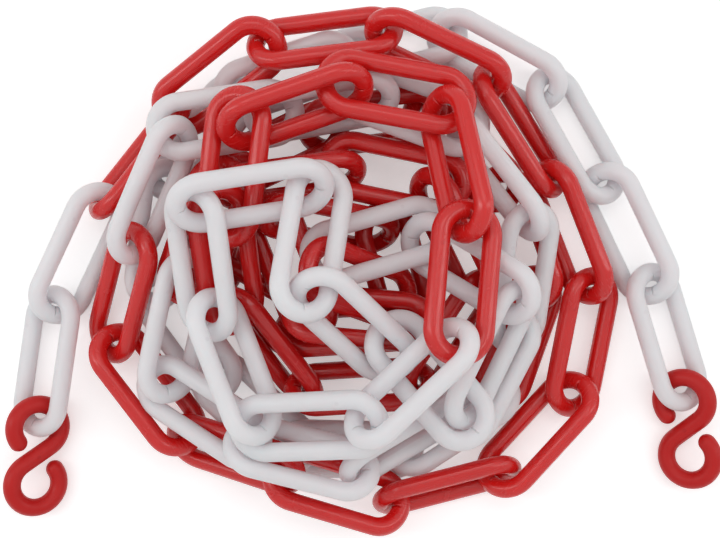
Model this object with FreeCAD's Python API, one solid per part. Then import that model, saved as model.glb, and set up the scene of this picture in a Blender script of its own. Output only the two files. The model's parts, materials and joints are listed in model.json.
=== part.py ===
import FreeCAD, Part
import math
import os

os.makedirs("parts", exist_ok=True)

# ---- Driving sizes, millimetres and degrees ----
LINK_WIRE = 6.0         # diameter of the round bar a link is moulded from
LINK_LENGTH = 50.0      # outside length of one link
LINK_WIDTH = 22.0       # outside width of one link
CLEARANCE = 0.35        # least air left between any two pieces
LINK_ROLL = 38.0        # how far a link leans from lying flat, its neighbour the other way

HOOK_WIRE = 5.8         # diameter of the bar of an S-hook
HOOK_EYE = 9.6          # inside diameter of each eye of an S-hook
HOOK_SPACING = 18.5     # from eye centre to eye centre
HOOK_TIP_ANGLE = 127.0  # from the hook's long axis round to the open end of an eye

SINKING = 0.08          # how far a link sinks in one settling pass
HOLDING = 0.03          # share of its drift sideways that a link makes good in one
MARGIN = 0.1            # how far outside the clearance two pieces still push each other
PUSH_SHARE = 0.6        # share of an overlap that one push takes away
LONGEST_PUSH = 1.0      # the most that one push takes away
LIFT_SHARE = 0.8        # share of its depth in the floor that one lift takes away

# ---- Sizes that follow ----
HALF_LENGTH = (LINK_LENGTH - LINK_WIRE) / 2
END_RADIUS = (LINK_WIDTH - LINK_WIRE) / 2
HALF_BAR = HALF_LENGTH - END_RADIUS
PITCH = 2 * HALF_LENGTH - END_RADIUS
TURN_WIDTH = 2 * END_RADIUS * math.cos(math.radians(LINK_ROLL)) + LINK_WIRE + CLEARANCE
LAYER = 2 * END_RADIUS * math.sin(math.radians(LINK_ROLL)) + LINK_WIRE + CLEARANCE
EYE_RADIUS = (HOOK_EYE + HOOK_WIRE) / 2

# Mean squared distances from the long axis, the cross axis and the middle, for turning
LINK_SPIN = (55, 200, 250)
HOOK_SPIN = (35, 110, 145)

# ---- Where each link holds the next: x and y in link pitches, layer, lean in degrees ----
LEFT_TAIL = [(-2.94, -1.36, 0, 0), (-2.79, -0.38, 0, 0), (-2.33, 0.56, 0, 0)]
OUTER_TURN = [(-1.64, 1.36, 0.9, 0), (-0.79, 1.94, 1, -20), (0.25, 2.07, 1, -26),
              (1.18, 1.61, 1, 0), (1.69, 0.75, 1, 20), (1.94, -0.22, 1, 26),
              (1.92, -1.14, 1, 20), (1.31, -1.81, 1, 26), (0.31, -1.94, 1, 20),
              (-0.71, -1.85, 0.9, 0), (-1.58, -1.36, 0.4, 0), (-2.25, -0.67, 0, 0),
              (-2.06, 0.33, 0.7, 0)]
SECOND_TURN = [(-1.47, 1, 1.6, 0), (-0.78, 1.5, 1.5, 0), (0.11, 1.64, 1.2, 10),
               (1, 1.25, 1.2, 20), (1.44, 0.44, 1.2, 10), (1.5, -0.53, 1.2, -10),
               (0.92, -1.33, 1.3, -20), (-0.03, -1.72, 1.6, 0), (-1, -1.67, 1.6, 15),
               (-1.67, -0.94, 1.6, 15), (-1.67, 0, 1.5, 0)]
THIRD_TURN = [(-1, 0.61, 1.1, 0), (-0.11, 1.03, 1, 0), (0.78, 0.78, 1, 0), (1.03, -0.17, 1, 0),
              (0.42, -0.97, 1.1, 0), (-0.53, -1, 1.3, 0), (-1.08, -0.28, 1.9, 0),
              (-1.28, 0.56, 2.3, 0)]
TOP_STRAND = [(-0.92, 1.22, 2.6, 0), (-0.19, 1.56, 2.5, 0), (0.75, 1.39, 2.8, 20),
              (0.92, 0.42, 3.1, 26), (0.83, -0.61, 3.3, 20), (0.06, -1.31, 3.3, 0),
              (-0.92, -1.25, 2.6, 10), (-1.22, -0.36, 3, 20), (-1.36, 0.56, 3.4, 10),
              (-0.42, 0.75, 3.4, 0), (-0.53, -0.22, 3.2, 0), (0.22, -0.61, 2.4, 0),
              (1, -1.19, 1.9, 0), (1.25, -0.28, 1.9, 10), (0.61, 0.44, 2, 10),
              (-0.25, 0.08, 2, 0)]
CENTRE = [(0.39, -0.56, 1.7, 0), (-0.5, -0.47, 1.5, 0), (-0.67, 0.44, 1.4, 0),
          (0.19, 0.44, 1.2, 0), (0.39, -0.36, 0.7, 0), (-0.42, -0.61, 0.4, 0)]
RIGHT_TAIL = [(0.81, 2.14, 0, 0), (1.69, 1.64, 0, 0), (2.22, 0.78, 0, 0), (2.64, -0.11, 0, 0),
              (2.99, -1.12, 0, 0)]
LEFT_HOOK_END = (-2.92, -2.42, 38)     # x and y in link pitches, roll in degrees
RIGHT_HOOK_END = (2.95, -2.42, -38)

# The lowest layer is a spiral from under the heap's centre to the right tail
FLOOR_LINKS = 15             # links from the last place of the centre to the right tail
FLOOR_START_ANGLE = 180.0    # degrees
FLOOR_START_RADIUS = 2.6     # in turn widths
FLOOR_TURNS = 1.254
FLOOR_SPREAD = 0.88          # turn widths from one turn to the next

# ---- Colours along the chain, from its left end ----
COLOUR_RUNS = [("white", 2), ("red", 13), ("white", 11), ("red", 13), ("white", 11),
               ("red", 13), ("white", 12)]

# ---- Stretches of the chain: name, links in it, links that share a node ----
STRETCHES = [("left_tail", 3, 1), ("outer_turn", 12, 1), ("second_turn", 11, 1),
             ("third_turn", 9, 3), ("top_strand", 15, 1), ("centre_drop", 6, 2),
             ("floor_turn", 16, 3), ("right_tail", 3, 1)]


def floor_turns(per_turn=12):
    """The lowest layer: a spiral that opens from the middle of the heap to its rim."""
    points = []
    for k in range(int(FLOOR_TURNS * per_turn) + 1):
        turned = k / per_turn
        angle = math.radians(FLOOR_START_ANGLE - 360 * turned)
        radius = (FLOOR_START_RADIUS + turned * FLOOR_SPREAD) * TURN_WIDTH
        points.append([radius * math.cos(angle), radius * math.sin(angle), LAYER / 2, 0])
    return points


def smooth(points, steps=24):
    """Close points along a curve through the points given, from the second to the last but one."""
    curve = []
    for i in range(len(points) - 3):
        around = points[i:i + 4]
        for k in range(steps):
            t = k / steps
            curve.append([
                0.5 * (2 * b + (c - a) * t + (2 * a - 5 * b + 4 * c - d) * t * t
                       + (3 * b - a - 3 * c + d) * t ** 3)
                for a, b, c, d in zip(*around)])
    return curve + [points[-2]]


def gap(p, q):
    return math.dist(p[:3], q[:3])


def raised(points):
    """Points in millimetres, from places in link pitches and layers."""
    return [[x * PITCH, y * PITCH, LAYER * (number + 0.5), lean]
            for x, y, number, lean in points]


def evenly(path, links):
    """Points along the path, without its ends, that share it among as many links."""
    length = sum(gap(p, q) for p, q in zip(path, path[1:]))
    step = length / links
    points = []
    walked = 0.0
    for p, q in zip(path, path[1:]):
        span = gap(p, q)
        while (len(points) + 1) * step < min(walked + span, length - step / 2):
            share = ((len(points) + 1) * step - walked) / span
            points.append([a + (b - a) * share for a, b in zip(p, q)])
        walked += span
    return points


def joint_points():
    """Where each link holds the next, from the left hook to the right one."""
    start = raised(LEFT_TAIL + OUTER_TURN + SECOND_TURN + THIRD_TURN + TOP_STRAND + CENTRE)
    end = raised(RIGHT_TAIL)
    floor = smooth([start[-2], start[-1]] + floor_turns() + end[:2])
    return start + evenly(floor, FLOOR_LINKS) + end


def cross(a, b):
    return [a[1] * b[2] - a[2] * b[1], a[2] * b[0] - a[0] * b[2], a[0] * b[1] - a[1] * b[0]]


def dot(a, b):
    return a[0] * b[0] + a[1] * b[1] + a[2] * b[2]


def unit(a):
    size = math.sqrt(dot(a, a))
    return [a[0] / size, a[1] / size, a[2] / size]


def stadium(count=40):
    """Points along the centreline of a link, in its own plane."""
    arc = math.pi * END_RADIUS
    lap = 2 * (2 * HALF_BAR + arc)
    points = []
    for k in range(count):
        s = lap * (k + 0.5) / count
        side = 1 if s < lap / 2 else -1
        s = s % (lap / 2)
        if s < 2 * HALF_BAR:
            points.append((side * (s - HALF_BAR), -side * END_RADIUS))
        else:
            a = (s - 2 * HALF_BAR) / END_RADIUS - math.pi / 2
            points.append((side * (HALF_BAR + END_RADIUS * math.cos(a)),
                           side * END_RADIUS * math.sin(a)))
    return points


def hook_bar_angle():
    """Angle from the hook's long axis at which its straight middle leaves an eye."""
    return math.pi - math.acos(2 * EYE_RADIUS / HOOK_SPACING)


def crook(count=16):
    """Points along the centreline of an S-hook, in its own plane, from tip to tip."""
    first, last = math.radians(HOOK_TIP_ANGLE), -hook_bar_angle()
    half = []
    for k in range(count + 1):
        a = first + (last - first) * k / count
        half.append((HOOK_SPACING / 2 + EYE_RADIUS * math.cos(a), EYE_RADIUS * math.sin(a)))
    x, y = half[-1]
    middle = [(x * t, y * t) for t in (0.6, 0.2, -0.2, -0.6)]
    return half + middle + [(-x, -y) for x, y in reversed(half)]


class Piece:
    """A rigid piece of the chain: where it is, how it is turned, and its centreline."""

    def __init__(self, outline, wire, spin):
        self.outline = outline
        self.wire = wire
        self.spin = spin

    def lay(self, start, end, roll):
        self.centre = [(start[i] + end[i]) / 2 for i in range(3)]
        self.along = unit([end[i] - start[i] for i in range(3)])
        level = unit(cross([0, 0, 1], self.along))
        up = cross(self.along, level)
        c, s = math.cos(math.radians(roll)), math.sin(math.radians(roll))
        self.across = [c * level[i] + s * up[i] for i in range(3)]
        self.normal = cross(self.along, self.across)
        self.home = list(self.centre)
        return self

    def trace(self):
        cx, cy, cz = self.centre
        ux, uy, uz = self.along
        wx, wy, wz = self.across
        self.points = [(cx + x * ux + y * wx, cy + x * uy + y * wy, cz + x * uz + y * wz)
                       for x, y in self.outline]
        columns = list(zip(*self.points))
        self.low = [min(c) for c in columns]
        self.high = [max(c) for c in columns]

    def lever(self, arm, push):
        """How easily a push at an arm's end moves the piece, and the turn it gives."""
        torque = cross(arm, push)
        turns = [dot(torque, self.along) / self.spin[0], dot(torque, self.across) / self.spin[1],
                 dot(torque, self.normal) / self.spin[2]]
        ease = 1 + turns[0] ** 2 * self.spin[0] + turns[1] ** 2 * self.spin[1] \
            + turns[2] ** 2 * self.spin[2]
        return ease, turns

    def move(self, push, turns, amount):
        u, w, n = self.along, self.across, self.normal
        turn = [amount * (turns[0] * u[i] + turns[1] * w[i] + turns[2] * n[i])
                for i in range(3)]
        du, dw = cross(turn, u), cross(turn, w)
        self.centre = [self.centre[i] + amount * push[i] for i in range(3)]
        self.along = unit([u[i] + du[i] for i in range(3)])
        tilt = dot(self.along, [w[i] + dw[i] for i in range(3)])
        self.across = unit([w[i] + dw[i] - tilt * self.along[i] for i in range(3)])
        self.normal = cross(self.along, self.across)


def meetings(link, other, reach):
    """Places where the other piece's centreline comes within reach of the link's own."""
    cx, cy, cz = link.centre
    ux, uy, uz = link.along
    wx, wy, wz = link.across
    nx, ny, nz = link.normal
    near = {}
    for k, (px, py, pz) in enumerate(other.points):
        dx, dy, dz = px - cx, py - cy, pz - cz
        z = dx * nx + dy * ny + dz * nz
        if z > reach or z < -reach:
            continue
        x = dx * ux + dy * uy + dz * uz
        y = dx * wx + dy * wy + dz * wz
        past = x - HALF_BAR if x > HALF_BAR else (x + HALF_BAR if x < -HALF_BAR else 0.0)
        out = math.sqrt(past * past + y * y)
        apart = math.sqrt(z * z + (out - END_RADIUS) ** 2)
        if apart < reach and out > 0.001:
            near[k] = (apart, x, y, z, past, out)
    count = len(other.points)
    found = []
    for k, (apart, x, y, z, past, out) in near.items():
        before = near.get((k - 1) % count, (reach,))[0]
        after = near.get((k + 1) % count, (reach,))[0]
        if before < apart or after <= apart:
            continue
        fx = x - past + END_RADIUS * past / out
        fy = END_RADIUS * y / out
        lx, ly, lz = (x - fx) / apart, (y - fy) / apart, z / apart
        push = [lx * ux + ly * wx + lz * nx, lx * uy + ly * wy + lz * ny,
                lx * uz + ly * wz + lz * nz]
        arm = [fx * ux + fy * wx, fx * uy + fy * wy, fx * uz + fy * wz]
        arm_other = [other.points[k][i] - other.centre[i] for i in range(3)]
        found.append((apart, push, arm, arm_other))
    return found


def push_apart(a, b, reach):
    for apart, push, arm_a, arm_b in meetings(a, b, reach):
        ease_a, turns_a = a.lever(arm_a, push)
        ease_b, turns_b = b.lever(arm_b, push)
        amount = min(PUSH_SHARE * (reach - apart), LONGEST_PUSH) / (ease_a + ease_b)
        a.move(push, turns_a, -amount)
        b.move(push, turns_b, amount)


def keep_on_floor(piece):
    lowest = min(piece.points, key=lambda p: p[2])
    sunk = piece.wire / 2 - lowest[2]
    if sunk > 0:
        up = [0, 0, 1]
        ease, turns = piece.lever([lowest[i] - piece.centre[i] for i in range(3)], up)
        piece.move(up, turns, LIFT_SHARE * sunk / ease)


def settle(links, hooks, sinking, holding, rounds=320):
    """Lets the pieces sink, holds them near home and pushes apart those that touch."""
    reach = LINK_WIRE + CLEARANCE + MARGIN
    for _ in range(rounds):
        for piece in links + hooks:
            piece.centre = [piece.centre[0] + holding * (piece.home[0] - piece.centre[0]),
                            piece.centre[1] + holding * (piece.home[1] - piece.centre[1]),
                            piece.centre[2] - sinking]
            piece.trace()
        for i, a in enumerate(links):
            low = [v - reach for v in a.low]
            high = [v + reach for v in a.high]
            for b in links[i + 1:] + hooks:
                if (b.low[0] > high[0] or b.high[0] < low[0] or b.low[1] > high[1]
                        or b.high[1] < low[1] or b.low[2] > high[2] or b.high[2] < low[2]):
                    continue
                push_apart(a, b, reach)
        for piece in links + hooks:
            piece.trace()
            keep_on_floor(piece)


def lay_hook(joint, end):
    """An S-hook whose eye holds the chain's last link at the joint."""
    reach = HOOK_SPACING + 2 * EYE_RADIUS - END_RADIUS
    aim = [end[0] * PITCH, end[1] * PITCH, HOOK_WIRE / 2]
    way = unit([aim[i] - joint[i] for i in range(3)])
    far = [joint[i] + reach * way[i] for i in range(3)]
    return Piece(crook(), HOOK_WIRE, HOOK_SPIN).lay(joint, far, end[2])


def extent(pieces, axis):
    """How far the pieces reach each way along one axis."""
    lows, highs = [], []
    for piece in pieces:
        lows.append(min(p[axis] for p in piece.points) - piece.wire / 2)
        highs.append(max(p[axis] for p in piece.points) + piece.wire / 2)
    return min(lows), max(highs)


def stand_on_origin(pieces):
    """Moves everything so that the origin is under the middle, on the floor."""
    spans = [extent(pieces, axis) for axis in range(3)]
    origin = [sum(spans[0]) / 2, sum(spans[1]) / 2, spans[2][0]]
    for piece in pieces:
        piece.centre = [piece.centre[i] - origin[i] for i in range(3)]
        piece.trace()


def lay_chain():
    """All links from left to right, and the two hooks, settled into the heap."""
    joints = joint_points()
    outline = stadium()
    links = []
    for k in range(len(joints) - 1):
        start, end = joints[k], joints[k + 1]
        roll = (start[3] + end[3]) / 2 + (LINK_ROLL if k % 2 else -LINK_ROLL)
        links.append(Piece(outline, LINK_WIRE, LINK_SPIN).lay(start, end, roll))
    hooks = [lay_hook(joints[0], LEFT_HOOK_END), lay_hook(joints[-1], RIGHT_HOOK_END)]
    settle(links, hooks, SINKING, HOLDING)
    settle(links, hooks, 0, 0)
    for piece in links + hooks:
        piece.outline = crook(200) if piece in hooks else stadium(400)
        piece.trace()
    stand_on_origin(links + hooks)
    return links, hooks


def bar(start, end, diameter):
    """A straight round bar between two points of the plane z = 0."""
    start, end = FreeCAD.Vector(*start, 0), FreeCAD.Vector(*end, 0)
    return Part.makeCylinder(diameter / 2, start.distanceToPoint(end), start, end - start)


def bend(centre, radius, diameter, first, sweep):
    """A round bar bent to an arc in the plane z = 0, from one angle on, in degrees."""
    arc = Part.makeTorus(radius, diameter / 2, FreeCAD.Vector(0, 0, 0),
                         FreeCAD.Vector(0, 0, 1), -180, 180, sweep)
    arc.rotate(FreeCAD.Vector(0, 0, 0), FreeCAD.Vector(0, 0, 1), first)
    arc.translate(FreeCAD.Vector(*centre, 0))
    return arc


def joined(pieces):
    """One solid from pieces that meet face to face."""
    shape = pieces[0].multiFuse(pieces[1:]).removeSplitter()
    return shape.Solids[0]


def link_solid():
    """One closed oblong link, lying in the plane z = 0 along X."""
    return joined([
        bar((-HALF_BAR, END_RADIUS), (HALF_BAR, END_RADIUS), LINK_WIRE),
        bar((-HALF_BAR, -END_RADIUS), (HALF_BAR, -END_RADIUS), LINK_WIRE),
        bend((HALF_BAR, 0), END_RADIUS, LINK_WIRE, -90, 180),
        bend((-HALF_BAR, 0), END_RADIUS, LINK_WIRE, 90, 180)])


def hook_solid():
    """One S-hook with round ends, lying in the plane z = 0 along X."""
    turn = math.degrees(hook_bar_angle())
    sweep = HOOK_TIP_ANGLE + turn
    leaves = math.radians(-turn)
    x = HOOK_SPACING / 2 + EYE_RADIUS * math.cos(leaves)
    y = EYE_RADIUS * math.sin(leaves)
    tip = math.radians(HOOK_TIP_ANGLE)
    tip_x = HOOK_SPACING / 2 + EYE_RADIUS * math.cos(tip)
    tip_y = EYE_RADIUS * math.sin(tip)
    pieces = [bar((x, y), (-x, -y), HOOK_WIRE)]
    for side, first in ((1, -turn), (-1, 180 - turn)):
        pieces.append(bend((side * HOOK_SPACING / 2, 0), EYE_RADIUS, HOOK_WIRE, first, sweep))
        end = FreeCAD.Vector(side * tip_x, side * tip_y, 0)
        pieces.append(Part.makeSphere(HOOK_WIRE / 2, end))
    return joined(pieces)


def placed(solid, piece):
    """A copy of the solid where the piece lies."""
    u, w, n, c = piece.along, piece.across, piece.normal, piece.centre
    copy = solid.copy()
    copy.Placement = FreeCAD.Placement(FreeCAD.Matrix(
        u[0], w[0], n[0], c[0], u[1], w[1], n[1], c[1], u[2], w[2], n[2], c[2], 0, 0, 0, 1))
    return copy


def colours(count):
    """The colour of each link, from the left end of the chain; the last run goes on."""
    runs = [colour for colour, length in COLOUR_RUNS for _ in range(length)]
    return (runs + [runs[-1]] * count)[:count]


def nodes(count):
    """The name of each node and the numbers of the links in it."""
    colour = colours(count)
    groups = []
    first = 0
    for name, length, share in STRETCHES:
        last = count if name == STRETCHES[-1][0] else min(first + length, count)
        group = []
        for k in range(first, last):
            if group and (len(group) == share or colour[k] != colour[group[0]]):
                groups.append((name, group))
                group = []
            group.append(k)
        if group:
            groups.append((name, group))
        first = last
    return [(node_name(name, group), group) for name, group in groups]


def node_name(stretch, group):
    numbers = "_".join("%02d" % (k + 1) for k in (group[0], group[-1]))
    return stretch + ("_link_%02d" % (group[0] + 1) if len(group) == 1 else "_links_" + numbers)


def main():
    links, hooks = lay_chain()
    link, hook = link_solid(), hook_solid()
    parts = {name: [placed(link, links[k]) for k in group] for name, group in nodes(len(links))}
    parts["left_hook"] = [placed(hook, hooks[0])]
    parts["right_hook"] = [placed(hook, hooks[1])]
    for name, solids in parts.items():
        shape = solids[0] if len(solids) == 1 else Part.makeCompound(solids)
        shape.exportStep("parts/" + name + ".step")
    print(len(links), "links and 2 hooks in", len(parts), "nodes")
    return links, hooks


if __name__ == "__main__":
    main()
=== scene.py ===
import json
import math

import bpy
import numpy as np
from mathutils import Matrix, Vector

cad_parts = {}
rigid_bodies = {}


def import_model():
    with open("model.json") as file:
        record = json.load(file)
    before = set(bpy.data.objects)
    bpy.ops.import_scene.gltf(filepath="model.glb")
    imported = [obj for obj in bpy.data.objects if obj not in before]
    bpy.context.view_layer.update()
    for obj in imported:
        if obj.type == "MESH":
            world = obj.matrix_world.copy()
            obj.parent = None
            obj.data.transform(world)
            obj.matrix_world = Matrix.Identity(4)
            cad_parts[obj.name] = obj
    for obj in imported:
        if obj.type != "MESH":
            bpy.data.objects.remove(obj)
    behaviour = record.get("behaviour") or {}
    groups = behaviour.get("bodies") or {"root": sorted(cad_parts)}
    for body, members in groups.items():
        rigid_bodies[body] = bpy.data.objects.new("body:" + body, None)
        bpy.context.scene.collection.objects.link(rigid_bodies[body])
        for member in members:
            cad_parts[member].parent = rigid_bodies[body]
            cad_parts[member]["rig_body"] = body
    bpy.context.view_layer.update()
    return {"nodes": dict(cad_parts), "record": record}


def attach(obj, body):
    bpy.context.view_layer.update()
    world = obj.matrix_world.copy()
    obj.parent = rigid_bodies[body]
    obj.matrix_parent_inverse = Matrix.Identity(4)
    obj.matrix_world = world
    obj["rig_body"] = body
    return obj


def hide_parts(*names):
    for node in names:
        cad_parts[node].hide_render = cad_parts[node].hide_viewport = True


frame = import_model()

# ---- Sizes in metres that the frame doesn't give ----
HOOK_BAR = 0.0058           # diameter of an S-hook's bar
HOOK_EYE = 0.0096           # inside diameter of each eye of an S-hook
HOOK_SPACING = 0.0185       # from eye centre to eye centre
HOOK_TIP_ANGLE = 127.0      # degrees from the hook's long axis to the end of an eye
SEAM_HEIGHT = 0.00007       # how far the moulding seam stands out of a bar
SEAM_WIDTH = 3.2            # degrees of the bar's round that half the seam takes up
SEAM_CROWDING = 0.86        # how much closer the points of a section lie near the seam
GATE_RADIUS = 0.00075       # radius of the mark that the mould's gate leaves
GATE_ALONG = 0.21           # the mark's place along a link, as a share of its length
BEND_SHARE = 0.4999         # radius of a link's bends, just under half its path's width
WELD_DISTANCE = 0.00001     # points of a link's bar closer than this are one
SOLID_GRAIN = 0.000001      # corners of a CAD solid closer than this are one

# ---- The plastics' surface ----
TONE_SHIFT = (0.9, 0.7, 0.5)           # how far a link's own tone moves its pattern
TONE_AMOUNT = 0.35                     # how much a link's own tone changes its colour
MOTTLE_DETAIL = 3.0
MOTTLE_RANGE = (0.3, 0.7)              # mottle that gives the lowest and highest gloss
FLOW_SCALE = (90.0, 1300.0, 1300.0)    # flow marks are long along the bar, fine across it
FLOW_DETAIL = 4.0
FLOW_RELIEF = 0.5                      # how strong flow marks are beside the fine peel
SCUFF_RANGE = (0.58, 0.75)             # flow marks between which the surface gets scuffed
PEEL_SCALE = 900.0
PEEL_DETAIL = 2.0
GATE_EDGE = (1.1, 0.7)                 # the gate mark fades in between these radii
GATE_TONE = 0.6                        # how far the gate mark takes the thick colour
GATE_RELIEF = -3.0                     # how far the gate mark is sunk in the relief
RELIEF_HEIGHT = 0.00004                # metres that the relief stands for

# ---- Light ----
FLOOR_GLOW = 0.42           # light of its own that keeps the floor white in view
WORLD_LIGHT = 0.55          # light from all round

ROUND_POINTS = 28           # points round a link's bar
BEND_POINTS = 16            # points along each quarter bend of a link
HOOK_ROUND_POINTS = 40      # points round a hook's bar
HOOK_ARC_POINTS = 72        # points along each eye of a hook
TIP_RINGS = 9               # rings that close each round tip of a hook

# ---- Stretches of the chain that are one piece each: colour, start of the node names ----
STRETCHES = {
    "left_tail_link_01_white": ("white", "left_tail_link_01"),
    "left_tail_link_02_white": ("white", "left_tail_link_02"),
    "left_tail_link_03_red": ("red", "left_tail_link_03"),
    "outer_turn_red_links": ("red", "outer_turn"),
    "second_turn_white_links": ("white", "second_turn"),
    "third_turn_red_links": ("red", "third_turn"),
    "top_strand_red_links": ("red", "top_strand"),
    "top_strand_white_links": ("white", "top_strand"),
    "centre_drop_red_links": ("red", "centre_drop"),
    "floor_turn_red_links": ("red", "floor_turn"),
    "floor_turn_white_links": ("white", "floor_turn"),
    "right_tail_link_73_white": ("white", "right_tail_link_73"),
    "right_tail_link_74_white": ("white", "right_tail_link_74"),
    "right_tail_link_75_white": ("white", "right_tail_link_75"),
}


# ---- Where each link and hook lies, read from the frame ----
def triangles(mesh):
    """The corners of a mesh's triangles, as an array of triangle, corner, axis."""
    mesh.calc_loop_triangles()
    corners = np.empty(len(mesh.vertices) * 3)
    mesh.vertices.foreach_get("co", corners)
    index = np.empty(len(mesh.loop_triangles) * 3, int)
    mesh.loop_triangles.foreach_get("vertices", index)
    return corners.reshape(-1, 3)[index].reshape(-1, 3, 3)


def solids(node):
    """The separate closed solids of a CAD node, each as its own triangles."""
    faces = triangles(frame["nodes"][node].data)
    keys = np.round(faces.reshape(-1, 3) / SOLID_GRAIN).astype(np.int64)
    _, corner = np.unique(keys, axis=0, return_inverse=True)
    corner = corner.reshape(-1, 3)
    label = np.arange(corner.max() + 1)
    while True:
        lowest = label[corner].min(axis=1)
        fresh = label.copy()
        np.minimum.at(fresh, corner.ravel(), np.repeat(lowest, 3))
        fresh = fresh[fresh]
        if (fresh == label).all():
            break
        label = fresh
    group = label[corner[:, 0]]
    return [faces[group == g] for g in np.unique(group)]


def surface_moments(faces):
    """The middle of a surface and how its area spreads about it."""
    a, b, c = faces[:, 0], faces[:, 1], faces[:, 2]
    area = np.linalg.norm(np.cross(b - a, c - a), axis=1) / 2
    middle = (area[:, None] * (a + b + c) / 3).sum(0) / area.sum()
    a, b, c = a - middle, b - middle, c - middle
    total = a + b + c
    spread = sum(np.einsum("k,ki,kj->ij", area / 12, v, v) for v in (a, b, c, total))
    return middle, spread / area.sum()


def lie(faces):
    """Where a piece lies: its middle and its long, cross and flat directions."""
    middle, spread = surface_moments(faces)
    _, axes = np.linalg.eigh(spread)
    along, normal = axes[:, 2], axes[:, 0]
    along = along * (1 if along[0] + along[1] > 0 else -1)
    normal = normal * (1 if normal[2] > 0 else -1)
    return middle, along, np.cross(normal, along), normal


def skew(faces, middle, along, across):
    """Tells a flat S from its mirror image."""
    centres = faces.mean(axis=1) - middle
    sides = faces[:, 1] - faces[:, 0], faces[:, 2] - faces[:, 0]
    area = np.linalg.norm(np.cross(*sides), axis=1)
    return (area * (centres @ along) ** 3 * (centres @ across)).sum()


def link_size():
    """Length, width and bar diameter of a link, from the first one of the frame."""
    faces = triangles(frame["nodes"]["left_tail_link_01"].data)
    middle, *axes = lie(faces)
    spans = [np.ptp((faces.reshape(-1, 3) - middle) @ axis) for axis in axes]
    return [round(span, 4) for span in spans]


LINK_LENGTH, LINK_WIDTH, LINK_BAR = link_size()
LINK_GATE = (GATE_ALONG * LINK_LENGTH, (LINK_WIDTH - LINK_BAR) / 2, LINK_BAR / 2)
HOOK_GATE = (0, 0, HOOK_BAR / 2)


# ---- Small helpers for node trees ----
def add(tree, kind, **settings):
    """A new node of a tree, with its settings."""
    node = tree.nodes.new(kind)
    for name, value in settings.items():
        setattr(node, name, value)
    return node


def wire(tree, source, target):
    """Joins an output to an input."""
    tree.links.new(source, target)


def maths(tree, operation, first, second=None, third=None):
    """A maths node; each term is a number or the output of another node."""
    node = add(tree, "ShaderNodeMath", operation=operation)
    for socket, term in zip(node.inputs, (first, second, third)):
        if isinstance(term, bpy.types.NodeSocket):
            wire(tree, term, socket)
        elif term is not None:
            socket.default_value = term
    return node.outputs[0]


def set_range(node, limits):
    """The values that a map range node takes as its least and its most."""
    node.inputs["From Min"].default_value, node.inputs["From Max"].default_value = limits


# ---- Geometry Nodes: moulded links set out along the chain ----
LINK_INPUTS = [
    ("Link Length", "NodeSocketFloat", LINK_LENGTH),
    ("Link Width", "NodeSocketFloat", LINK_WIDTH),
    ("Bar Diameter", "NodeSocketFloat", LINK_BAR),
    ("Seam Height", "NodeSocketFloat", SEAM_HEIGHT),
    ("Seam Width", "NodeSocketFloat", math.radians(SEAM_WIDTH)),
    ("Round Points", "NodeSocketInt", ROUND_POINTS),
    ("Bend Points", "NodeSocketInt", BEND_POINTS),
    ("Seed", "NodeSocketInt", 7),
    ("Plastic", "NodeSocketMaterial", None),
]


def section_with_seam(tree, given):
    """The bar's round section with a fine seam on the two sides where the mould parts."""
    circle = add(tree, "GeometryNodeCurvePrimitiveCircle", mode="RADIUS")
    wire(tree, given["Round Points"], circle.inputs["Resolution"])
    circle.inputs["Radius"].default_value = 1.0
    place = add(tree, "GeometryNodeInputPosition")
    parts = add(tree, "ShaderNodeSeparateXYZ")
    wire(tree, place.outputs[0], parts.inputs[0])
    angle = maths(tree, "ARCTAN2", parts.outputs["Y"], parts.outputs["X"])
    crowd = maths(tree, "SINE", maths(tree, "MULTIPLY", angle, 2.0))
    angle = maths(tree, "MULTIPLY_ADD", crowd, -SEAM_CROWDING / 2, angle)
    off = maths(tree, "DIVIDE", maths(tree, "SINE", angle), given["Seam Width"])
    square = maths(tree, "MULTIPLY", off, off)
    ridge = maths(tree, "EXPONENT", maths(tree, "MULTIPLY", square, -1.0))
    radius = maths(tree, "SUBTRACT", maths(tree, "DIVIDE", given["Bar Diameter"], 2.0),
                   given["Seam Height"])
    radius = maths(tree, "MULTIPLY_ADD", ridge, given["Seam Height"], radius)
    ring = add(tree, "ShaderNodeCombineXYZ")
    wire(tree, maths(tree, "MULTIPLY", maths(tree, "COSINE", angle), radius), ring.inputs["X"])
    wire(tree, maths(tree, "MULTIPLY", maths(tree, "SINE", angle), radius), ring.inputs["Y"])
    shaped = add(tree, "GeometryNodeSetPosition")
    wire(tree, circle.outputs["Curve"], shaped.inputs["Geometry"])
    wire(tree, ring.outputs[0], shaped.inputs["Position"])
    return shaped.outputs[0]


def oblong_path(tree, given):
    """The centreline of a link: a rectangle whose ends are rounded right off."""
    frame_curve = add(tree, "GeometryNodeCurvePrimitiveQuadrilateral", mode="RECTANGLE")
    width = maths(tree, "SUBTRACT", given["Link Width"], given["Bar Diameter"])
    wire(tree, maths(tree, "SUBTRACT", given["Link Length"], given["Bar Diameter"]),
         frame_curve.inputs["Width"])
    wire(tree, width, frame_curve.inputs["Height"])
    rounded = add(tree, "GeometryNodeFilletCurve", mode="POLY")
    wire(tree, frame_curve.outputs[0], rounded.inputs["Curve"])
    wire(tree, given["Bend Points"], rounded.inputs["Count"])
    wire(tree, maths(tree, "MULTIPLY", width, BEND_SHARE), rounded.inputs["Radius"])
    level = add(tree, "GeometryNodeSetCurveNormal", mode="Z_UP")
    wire(tree, rounded.outputs[0], level.inputs["Curve"])
    return level.outputs[0]


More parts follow.
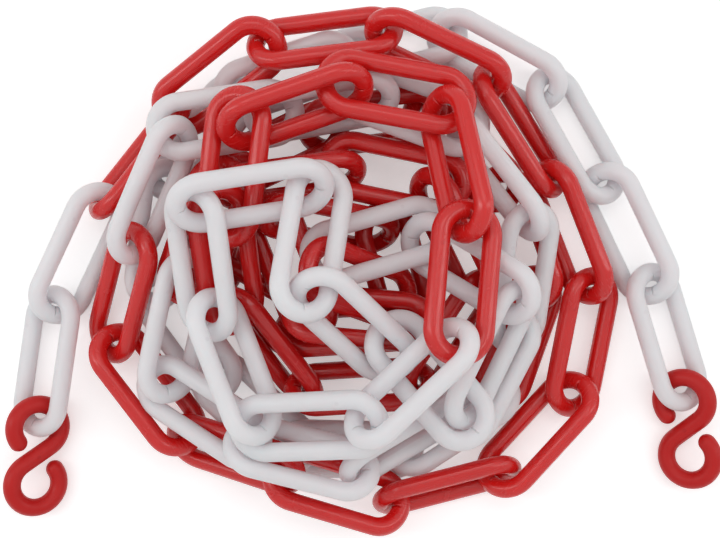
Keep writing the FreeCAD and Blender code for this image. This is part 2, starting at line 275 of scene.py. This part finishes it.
def chain_links_tree():
    """Sets one moulded link on each point, turned by the point's own directions."""
    tree = bpy.data.node_groups.new("chain_links", "GeometryNodeTree")
    tree.interface.new_socket("Places", in_out="INPUT", socket_type="NodeSocketGeometry")
    for name, kind, value in LINK_INPUTS:
        socket = tree.interface.new_socket(name, in_out="INPUT", socket_type=kind)
        if value is not None:
            socket.default_value = value
    tree.interface.new_socket("Links", in_out="OUTPUT", socket_type="NodeSocketGeometry")
    given = add(tree, "NodeGroupInput").outputs

    bar = add(tree, "GeometryNodeCurveToMesh")
    wire(tree, oblong_path(tree, given), bar.inputs["Curve"])
    wire(tree, section_with_seam(tree, given), bar.inputs["Profile Curve"])
    closed = add(tree, "GeometryNodeMergeByDistance")
    wire(tree, bar.outputs[0], closed.inputs["Geometry"])
    closed.inputs["Distance"].default_value = WELD_DISTANCE
    smooth = add(tree, "GeometryNodeSetShadeSmooth")
    wire(tree, closed.outputs[0], smooth.inputs["Geometry"])
    place = add(tree, "GeometryNodeInputPosition")
    own = add(tree, "GeometryNodeStoreNamedAttribute", data_type="FLOAT_VECTOR", domain="POINT")
    wire(tree, smooth.outputs[0], own.inputs["Geometry"])
    own.inputs["Name"].default_value = "own_place"
    wire(tree, place.outputs[0], own.inputs["Value"])

    along = add(tree, "GeometryNodeInputNamedAttribute", data_type="FLOAT_VECTOR")
    along.inputs["Name"].default_value = "along"
    normal = add(tree, "GeometryNodeInputNamedAttribute", data_type="FLOAT_VECTOR")
    normal.inputs["Name"].default_value = "normal"
    flat = add(tree, "FunctionNodeAlignRotationToVector", axis="Z")
    wire(tree, normal.outputs["Attribute"], flat.inputs["Vector"])
    turned = add(tree, "FunctionNodeAlignRotationToVector", axis="X", pivot_axis="Z")
    wire(tree, flat.outputs[0], turned.inputs["Rotation"])
    wire(tree, along.outputs["Attribute"], turned.inputs["Vector"])

    tone = add(tree, "FunctionNodeRandomValue", data_type="FLOAT")
    wire(tree, given["Seed"], tone.inputs["Seed"])
    toned = add(tree, "GeometryNodeStoreNamedAttribute", data_type="FLOAT", domain="POINT")
    wire(tree, given["Places"], toned.inputs["Geometry"])
    toned.inputs["Name"].default_value = "tone"
    wire(tree, tone.outputs["Value"], toned.inputs["Value"])

    chain = add(tree, "GeometryNodeInstanceOnPoints")
    wire(tree, toned.outputs[0], chain.inputs["Points"])
    wire(tree, own.outputs[0], chain.inputs["Instance"])
    wire(tree, turned.outputs[0], chain.inputs["Rotation"])
    real = add(tree, "GeometryNodeRealizeInstances")
    wire(tree, chain.outputs[0], real.inputs["Geometry"])
    painted = add(tree, "GeometryNodeSetMaterial")
    wire(tree, real.outputs[0], painted.inputs["Geometry"])
    wire(tree, given["Plastic"], painted.inputs["Material"])
    result = add(tree, "NodeGroupOutput")
    wire(tree, painted.outputs[0], result.inputs[0])
    return tree


def set_inputs(modifier, values):
    """Sets a modifier's named inputs through the identifiers of its sockets."""
    for item in modifier.node_group.interface.items_tree:
        if item.item_type == "SOCKET" and item.in_out == "INPUT" and item.name in values:
            modifier[item.identifier] = values[item.name]


def places_mesh(name, lies):
    """A mesh with a point for each link and the link's directions on it."""
    mesh = bpy.data.meshes.new(name)
    mesh.from_pydata([tuple(middle) for middle, *_ in lies], [], [])
    for attribute, column in (("along", 1), ("normal", 3)):
        values = np.array([directions[column] for directions in lies], np.float32)
        layer = mesh.attributes.new(attribute, "FLOAT_VECTOR", "POINT")
        layer.data.foreach_set("vector", values.ravel())
    return mesh


def chain_piece(name, nodes, tree, plastic, seed):
    """One stretch of chain as a plain mesh, in place of its CAD nodes."""
    lies = [lie(faces) for node in nodes for faces in solids(node)]
    start = bpy.data.objects.new(name + "_places", places_mesh(name + "_places", lies))
    bpy.context.scene.collection.objects.link(start)
    modifier = start.modifiers.new("links", "NODES")
    modifier.node_group = tree
    set_inputs(modifier, {"Plastic": plastic, "Seed": seed})
    bpy.context.view_layer.update()
    ready = start.evaluated_get(bpy.context.evaluated_depsgraph_get())
    mesh = bpy.data.meshes.new_from_object(ready)
    mesh.name = name
    start.modifiers.remove(modifier)
    bpy.data.objects.remove(start)
    piece = bpy.data.objects.new(name, mesh)
    bpy.context.scene.collection.objects.link(piece)
    return piece


# ---- The S-hooks ----
def hook_line():
    """Points and directions along an S-hook's centreline, from tip to tip, in its plane."""
    eye = (HOOK_EYE + HOOK_BAR) / 2
    leave = math.pi - math.acos(2 * eye / HOOK_SPACING)
    tip = math.radians(HOOK_TIP_ANGLE)
    line = []
    for k in range(HOOK_ARC_POINTS + 1):
        a = tip - (tip + leave) * k / HOOK_ARC_POINTS
        line.append(((HOOK_SPACING / 2 + eye * math.cos(a), eye * math.sin(a)),
                     (math.sin(a), -math.cos(a))))
    middle = []
    (x, y), way = line[-1]
    for share in (0.6, 0.2, -0.2, -0.6):
        middle.append(((x * share, y * share), way))
    back = [((-x, -y), way) for (x, y), way in reversed(line)]
    return line + middle + back


def hook_section(radius):
    """The round of a hook's bar with its moulding seam, as offsets in and out of plane."""
    section = []
    for k in range(HOOK_ROUND_POINTS):
        angle = 2 * math.pi * k / HOOK_ROUND_POINTS
        angle -= SEAM_CROWDING / 2 * math.sin(2 * angle)
        ridge = math.exp(-(math.sin(angle) / math.radians(SEAM_WIDTH)) ** 2)
        out = radius - SEAM_HEIGHT + SEAM_HEIGHT * ridge
        section.append((out * math.cos(angle), out * math.sin(angle)))
    return section


def hook_mesh(name):
    """A closed S-hook with round tips, lying flat in its own plane."""
    line = hook_line()
    first, last = line[0], line[-1]
    rings = []
    for (x, y), (dx, dy), sign in ((*first, -1), (*last, 1)):
        cap = []
        for k in range(1, TIP_RINGS + 1):
            a = math.pi / 2 * k / (TIP_RINGS + 1)
            reach = sign * HOOK_BAR / 2 * math.sin(a)
            cap.append((((x + reach * dx, y + reach * dy), (dx, dy)), math.cos(a)))
        rings.append(cap)
    stations = rings[0][::-1] + [(station, 1.0) for station in line] + rings[1]
    section = hook_section(HOOK_BAR / 2)
    vertices, faces = [], []
    for ((x, y), (dx, dy)), size in stations:
        for out, up in section:
            vertices.append((x + dy * out * size, y - dx * out * size, up * size))
    count = len(section)
    for ring in range(len(stations) - 1):
        for k in range(count):
            a, b = ring * count + k, ring * count + (k + 1) % count
            faces.append((a, b, b + count, a + count))
    for sign, station, edge in ((-1, first, 0), (1, last, (len(stations) - 1) * count)):
        (x, y), (dx, dy) = station
        pole = len(vertices)
        vertices.append((x + sign * dx * HOOK_BAR / 2, y + sign * dy * HOOK_BAR / 2, 0))
        for k in range(count):
            a, b = edge + k, edge + (k + 1) % count
            faces.append((pole, b, a) if sign < 0 else (pole, a, b))
    mesh = bpy.data.meshes.new(name)
    mesh.from_pydata(vertices, [], faces)
    mesh.shade_smooth()
    own = mesh.attributes.new("own_place", "FLOAT_VECTOR", "POINT")
    own.data.foreach_set("vector", np.array(vertices, np.float32).ravel())
    return mesh


def frame_of(middle, along, across, normal):
    """The matrix that carries a piece's own directions to where it lies."""
    matrix = Matrix.Identity(4)
    for column, direction in enumerate((along, across, normal, middle)):
        for row in range(3):
            matrix[row][column] = direction[row]
    return matrix


def hook_piece(name, node, plastic):
    """A finely made S-hook exactly where the CAD hook lies, the same way up."""
    mesh = hook_mesh(name)
    own = triangles(mesh)
    own_lie = lie(own)
    there = solids(node)[0]
    middle, along, across, normal = lie(there)
    if skew(own, *own_lie[:3]) * skew(there, middle, along, across) < 0:
        across, normal = -across, -normal
    mesh.transform(frame_of(middle, along, across, normal) @ frame_of(*own_lie).inverted())
    mesh.materials.append(plastic)
    piece = bpy.data.objects.new(name, mesh)
    bpy.context.scene.collection.objects.link(piece)
    return piece


# ---- Materials ----
def moulded_group():
    """Colour, gloss and fine relief of moulded plastic, shared by every plastic."""
    tree = bpy.data.node_groups.new("moulded_surface", "ShaderNodeTree")
    for name, kind, value in (
            ("Colour", "NodeSocketColor", (0.5, 0.5, 0.5, 1)),
            ("Thick Colour", "NodeSocketColor", (0.4, 0.4, 0.4, 1)),
            ("Mottle Scale", "NodeSocketFloat", 180.0),
            ("Mottle Amount", "NodeSocketFloat", 0.5),
            ("Gloss Low", "NodeSocketFloat", 0.28),
            ("Gloss High", "NodeSocketFloat", 0.42),
            ("Scuff Amount", "NodeSocketFloat", 0.2),
            ("Gate Place", "NodeSocketVector", (0, 0, 0)),
            ("Gate Radius", "NodeSocketFloat", GATE_RADIUS)):
        socket = tree.interface.new_socket(name, in_out="INPUT", socket_type=kind)
        socket.default_value = value
    for name, kind in (("Colour", "NodeSocketColor"), ("Roughness", "NodeSocketFloat"),
                       ("Relief", "NodeSocketFloat")):
        tree.interface.new_socket(name, in_out="OUTPUT", socket_type=kind)
    given = add(tree, "NodeGroupInput").outputs
    result = add(tree, "NodeGroupOutput")
    own = add(tree, "ShaderNodeAttribute", attribute_name="own_place")
    tone = add(tree, "ShaderNodeAttribute", attribute_name="tone")
    shift = add(tree, "ShaderNodeVectorMath", operation="MULTIPLY_ADD")
    wire(tree, tone.outputs["Vector"], shift.inputs[0])
    shift.inputs[1].default_value = TONE_SHIFT
    wire(tree, own.outputs["Vector"], shift.inputs[2])

    mottle = add(tree, "ShaderNodeTexNoise")
    mottle.inputs["Detail"].default_value = MOTTLE_DETAIL
    wire(tree, shift.outputs[0], mottle.inputs["Vector"])
    wire(tree, given["Mottle Scale"], mottle.inputs["Scale"])
    amount = maths(tree, "MULTIPLY", mottle.outputs["Fac"], given["Mottle Amount"])
    amount = maths(tree, "MULTIPLY_ADD", tone.outputs["Fac"], TONE_AMOUNT, amount)
    away = add(tree, "ShaderNodeVectorMath", operation="DISTANCE")
    wire(tree, own.outputs["Vector"], away.inputs[0])
    wire(tree, given["Gate Place"], away.inputs[1])
    gate = add(tree, "ShaderNodeMapRange", interpolation_type="SMOOTHSTEP")
    wire(tree, maths(tree, "DIVIDE", away.outputs["Value"], given["Gate Radius"]),
         gate.inputs["Value"])
    set_range(gate, GATE_EDGE)
    amount = maths(tree, "MULTIPLY_ADD", gate.outputs["Result"], GATE_TONE, amount)
    blend = add(tree, "ShaderNodeMix", data_type="RGBA", clamp_factor=True)
    wire(tree, amount, blend.inputs["Factor"])
    wire(tree, given["Colour"], blend.inputs["A"])
    wire(tree, given["Thick Colour"], blend.inputs["B"])
    wire(tree, blend.outputs["Result"], result.inputs["Colour"])

    stretch = add(tree, "ShaderNodeVectorMath", operation="MULTIPLY")
    wire(tree, shift.outputs[0], stretch.inputs[0])
    stretch.inputs[1].default_value = FLOW_SCALE
    flow = add(tree, "ShaderNodeTexNoise")
    flow.inputs["Scale"].default_value = 1.0
    flow.inputs["Detail"].default_value = FLOW_DETAIL
    wire(tree, stretch.outputs[0], flow.inputs["Vector"])
    scuffed = add(tree, "ShaderNodeMapRange")
    wire(tree, flow.outputs["Fac"], scuffed.inputs["Value"])
    set_range(scuffed, SCUFF_RANGE)
    scuff = maths(tree, "MULTIPLY", scuffed.outputs["Result"], given["Scuff Amount"])
    rough = add(tree, "ShaderNodeMapRange")
    wire(tree, mottle.outputs["Fac"], rough.inputs["Value"])
    set_range(rough, MOTTLE_RANGE)
    wire(tree, given["Gloss Low"], rough.inputs["To Min"])
    wire(tree, given["Gloss High"], rough.inputs["To Max"])
    wire(tree, maths(tree, "ADD", rough.outputs["Result"], scuff), result.inputs["Roughness"])

    peel = add(tree, "ShaderNodeTexNoise")
    peel.inputs["Scale"].default_value = PEEL_SCALE
    peel.inputs["Detail"].default_value = PEEL_DETAIL
    wire(tree, shift.outputs[0], peel.inputs["Vector"])
    relief = maths(tree, "MULTIPLY_ADD", flow.outputs["Fac"], FLOW_RELIEF, peel.outputs["Fac"])
    relief = maths(tree, "MULTIPLY_ADD", gate.outputs["Result"], GATE_RELIEF, relief)
    wire(tree, relief, result.inputs["Relief"])
    return tree


def plastic_material(name, group, settings, relief, shader):
    """A moulded plastic: the shared surface with its own values, on its own shader."""
    material = bpy.data.materials.new(name)
    material.use_nodes = True
    tree = material.node_tree
    principled = tree.nodes["Principled BSDF"]
    surface = add(tree, "ShaderNodeGroup", node_tree=group)
    for socket, value in settings.items():
        surface.inputs[socket].default_value = value
    bump = add(tree, "ShaderNodeBump")
    bump.inputs["Strength"].default_value = relief
    bump.inputs["Distance"].default_value = RELIEF_HEIGHT
    wire(tree, surface.outputs["Relief"], bump.inputs["Height"])
    wire(tree, surface.outputs["Colour"], principled.inputs["Base Color"])
    wire(tree, surface.outputs["Roughness"], principled.inputs["Roughness"])
    wire(tree, bump.outputs["Normal"], principled.inputs["Normal"])
    for socket, value in shader.items():
        principled.inputs[socket].default_value = value
    return material


def white_ray_factor(tree):
    """1 for rays that should see plain white: from the camera, a mirror or glass."""
    path = add(tree, "ShaderNodeLightPath")
    seen = maths(tree, "MAXIMUM", path.outputs["Is Camera Ray"], path.outputs["Is Glossy Ray"])
    return maths(tree, "MAXIMUM", seen, path.outputs["Is Transmission Ray"])


def floor_material():
    """A white studio floor that keeps the heap's shadow."""
    material = bpy.data.materials.new("studio_floor")
    material.use_nodes = True
    tree = material.node_tree
    tree.nodes.remove(tree.nodes["Principled BSDF"])
    matt = add(tree, "ShaderNodeBsdfDiffuse")
    matt.inputs["Color"].default_value = (0.9, 0.9, 0.9, 1)
    glow = add(tree, "ShaderNodeEmission")
    wire(tree, maths(tree, "MULTIPLY", white_ray_factor(tree), FLOOR_GLOW),
         glow.inputs["Strength"])
    both = add(tree, "ShaderNodeAddShader")
    wire(tree, matt.outputs[0], both.inputs[0])
    wire(tree, glow.outputs[0], both.inputs[1])
    wire(tree, both.outputs[0], tree.nodes["Material Output"].inputs["Surface"])
    return material


moulded = moulded_group()
plastics = {
    "red": plastic_material(
        "red_polyethylene", moulded,
        {"Colour": (0.71, 0.018, 0.016, 1), "Thick Colour": (0.60, 0.013, 0.013, 1),
         "Mottle Scale": 160.0, "Gloss Low": 0.18, "Gloss High": 0.28,
         "Gate Place": LINK_GATE},
        0.2, {"Specular IOR Level": 0.5, "Subsurface Weight": 0.65,
               "Subsurface Radius": (0.009, 0.0008, 0.0008), "Subsurface Scale": 1.0}),
    "white": plastic_material(
        "white_polyethylene", moulded,
        {"Colour": (0.88, 0.862, 0.892, 1), "Thick Colour": (0.81, 0.780, 0.812, 1),
         "Mottle Scale": 140.0, "Gloss Low": 0.30, "Gloss High": 0.44,
         "Gate Place": LINK_GATE},
        0.25, {"Specular IOR Level": 0.4, "Subsurface Weight": 1.0,
               "Subsurface Radius": (0.010, 0.008, 0.008), "Subsurface Scale": 1.0}),
    "hook": plastic_material(
        "red_hook_polyethylene", moulded,
        {"Colour": (0.58, 0.012, 0.011, 1), "Thick Colour": (0.48, 0.009, 0.009, 1),
         "Mottle Scale": 220.0, "Gloss Low": 0.34, "Gloss High": 0.48,
         "Gate Place": HOOK_GATE},
        0.3, {"Specular IOR Level": 0.3, "Subsurface Weight": 0.06,
              "Subsurface Radius": (0.002, 0.0004, 0.0004), "Subsurface Scale": 1.0}),
}


# ---- The object ----
def colour_of(node):
    """The colour of a CAD node, by the material slot that the record gives it."""
    for part in frame["record"]["subparts"]:
        if part["node"] == node:
            return part["material_slot"].split("_")[0]


links_tree = chain_links_tree()
for number, (name, (colour, start)) in enumerate(STRETCHES.items()):
    nodes = [node for node in sorted(frame["nodes"])
             if node.startswith(start) and colour_of(node) == colour]
    body = frame["nodes"][nodes[0]]["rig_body"]
    piece = chain_piece(name, nodes, links_tree, plastics[colour], number)
    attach(piece, body)
    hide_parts(*nodes)

for side in ("left", "right"):
    piece = hook_piece(side + "_s_hook", side + "_hook", plastics["hook"])
    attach(piece, side + "_hook")
    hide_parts(side + "_hook")


# ---- Studio ----
def lamp(name, place, target, size, power):
    """A soft rectangular lamp that points at the target."""
    data = bpy.data.lights.new(name, "AREA")
    data.shape = "RECTANGLE"
    data.size, data.size_y = size
    data.energy = power
    light = bpy.data.objects.new(name, data)
    light.location = place
    light.rotation_euler = (Vector(target) - Vector(place)).to_track_quat("-Z", "Y").to_euler()
    bpy.context.scene.collection.objects.link(light)


FLOOR_SIZE = 6.0
LAMP_TARGET = (0, 0, 0.02)
LAMPS = (                   # name, place, size, power
    ("left_softbox", (-0.75, 0.10, 0.75), (0.18, 0.9), 1.75),
    ("right_softbox", (0.75, 0.10, 0.75), (0.18, 0.9), 1.4),
    ("top_softbox", (0.0, 0.45, 1.1), (0.7, 0.35), 1.2),
)

floor_mesh = bpy.data.meshes.new("studio_floor")
half = FLOOR_SIZE / 2
floor_mesh.from_pydata([(-half, -half, 0), (half, -half, 0), (half, half, 0), (-half, half, 0)],
                       [], [(0, 1, 2, 3)])
floor_mesh.materials.append(floor_material())
floor = bpy.data.objects.new("studio_floor", floor_mesh)
bpy.context.scene.collection.objects.link(floor)

for name, place, size, power in LAMPS:
    lamp(name, place, LAMP_TARGET, size, power)

world = bpy.data.worlds.new("studio")
world.use_nodes = True
tree = world.node_tree
background = tree.nodes["Background"]
background.inputs["Color"].default_value = (1, 1, 1, 1)
wire(tree, maths(tree, "MULTIPLY_ADD", white_ray_factor(tree), 1 - WORLD_LIGHT, WORLD_LIGHT),
     background.inputs["Strength"])
bpy.context.scene.world = world
bpy.context.scene.view_settings.view_transform = "Standard"

# ---- Camera: straight above the heap ----
CAMERA_HEIGHT = 0.390
SENSOR = 36.0
SEEN_WIDTH = 0.2400         # width of floor that the picture takes in
CAMERA_PLACE = (-0.0009, -0.0007)
camera_data = bpy.data.cameras.new("camera")
camera_data.sensor_width = SENSOR
camera_data.lens = SENSOR * CAMERA_HEIGHT / SEEN_WIDTH
camera_data.clip_start = 0.01
camera = bpy.data.objects.new("camera", camera_data)
camera.location = (*CAMERA_PLACE, CAMERA_HEIGHT)
bpy.context.scene.collection.objects.link(camera)
bpy.context.scene.camera = camera


def corners(box):
    """A box's two corners as plain lists."""
    return [list(corner) for corner in box]
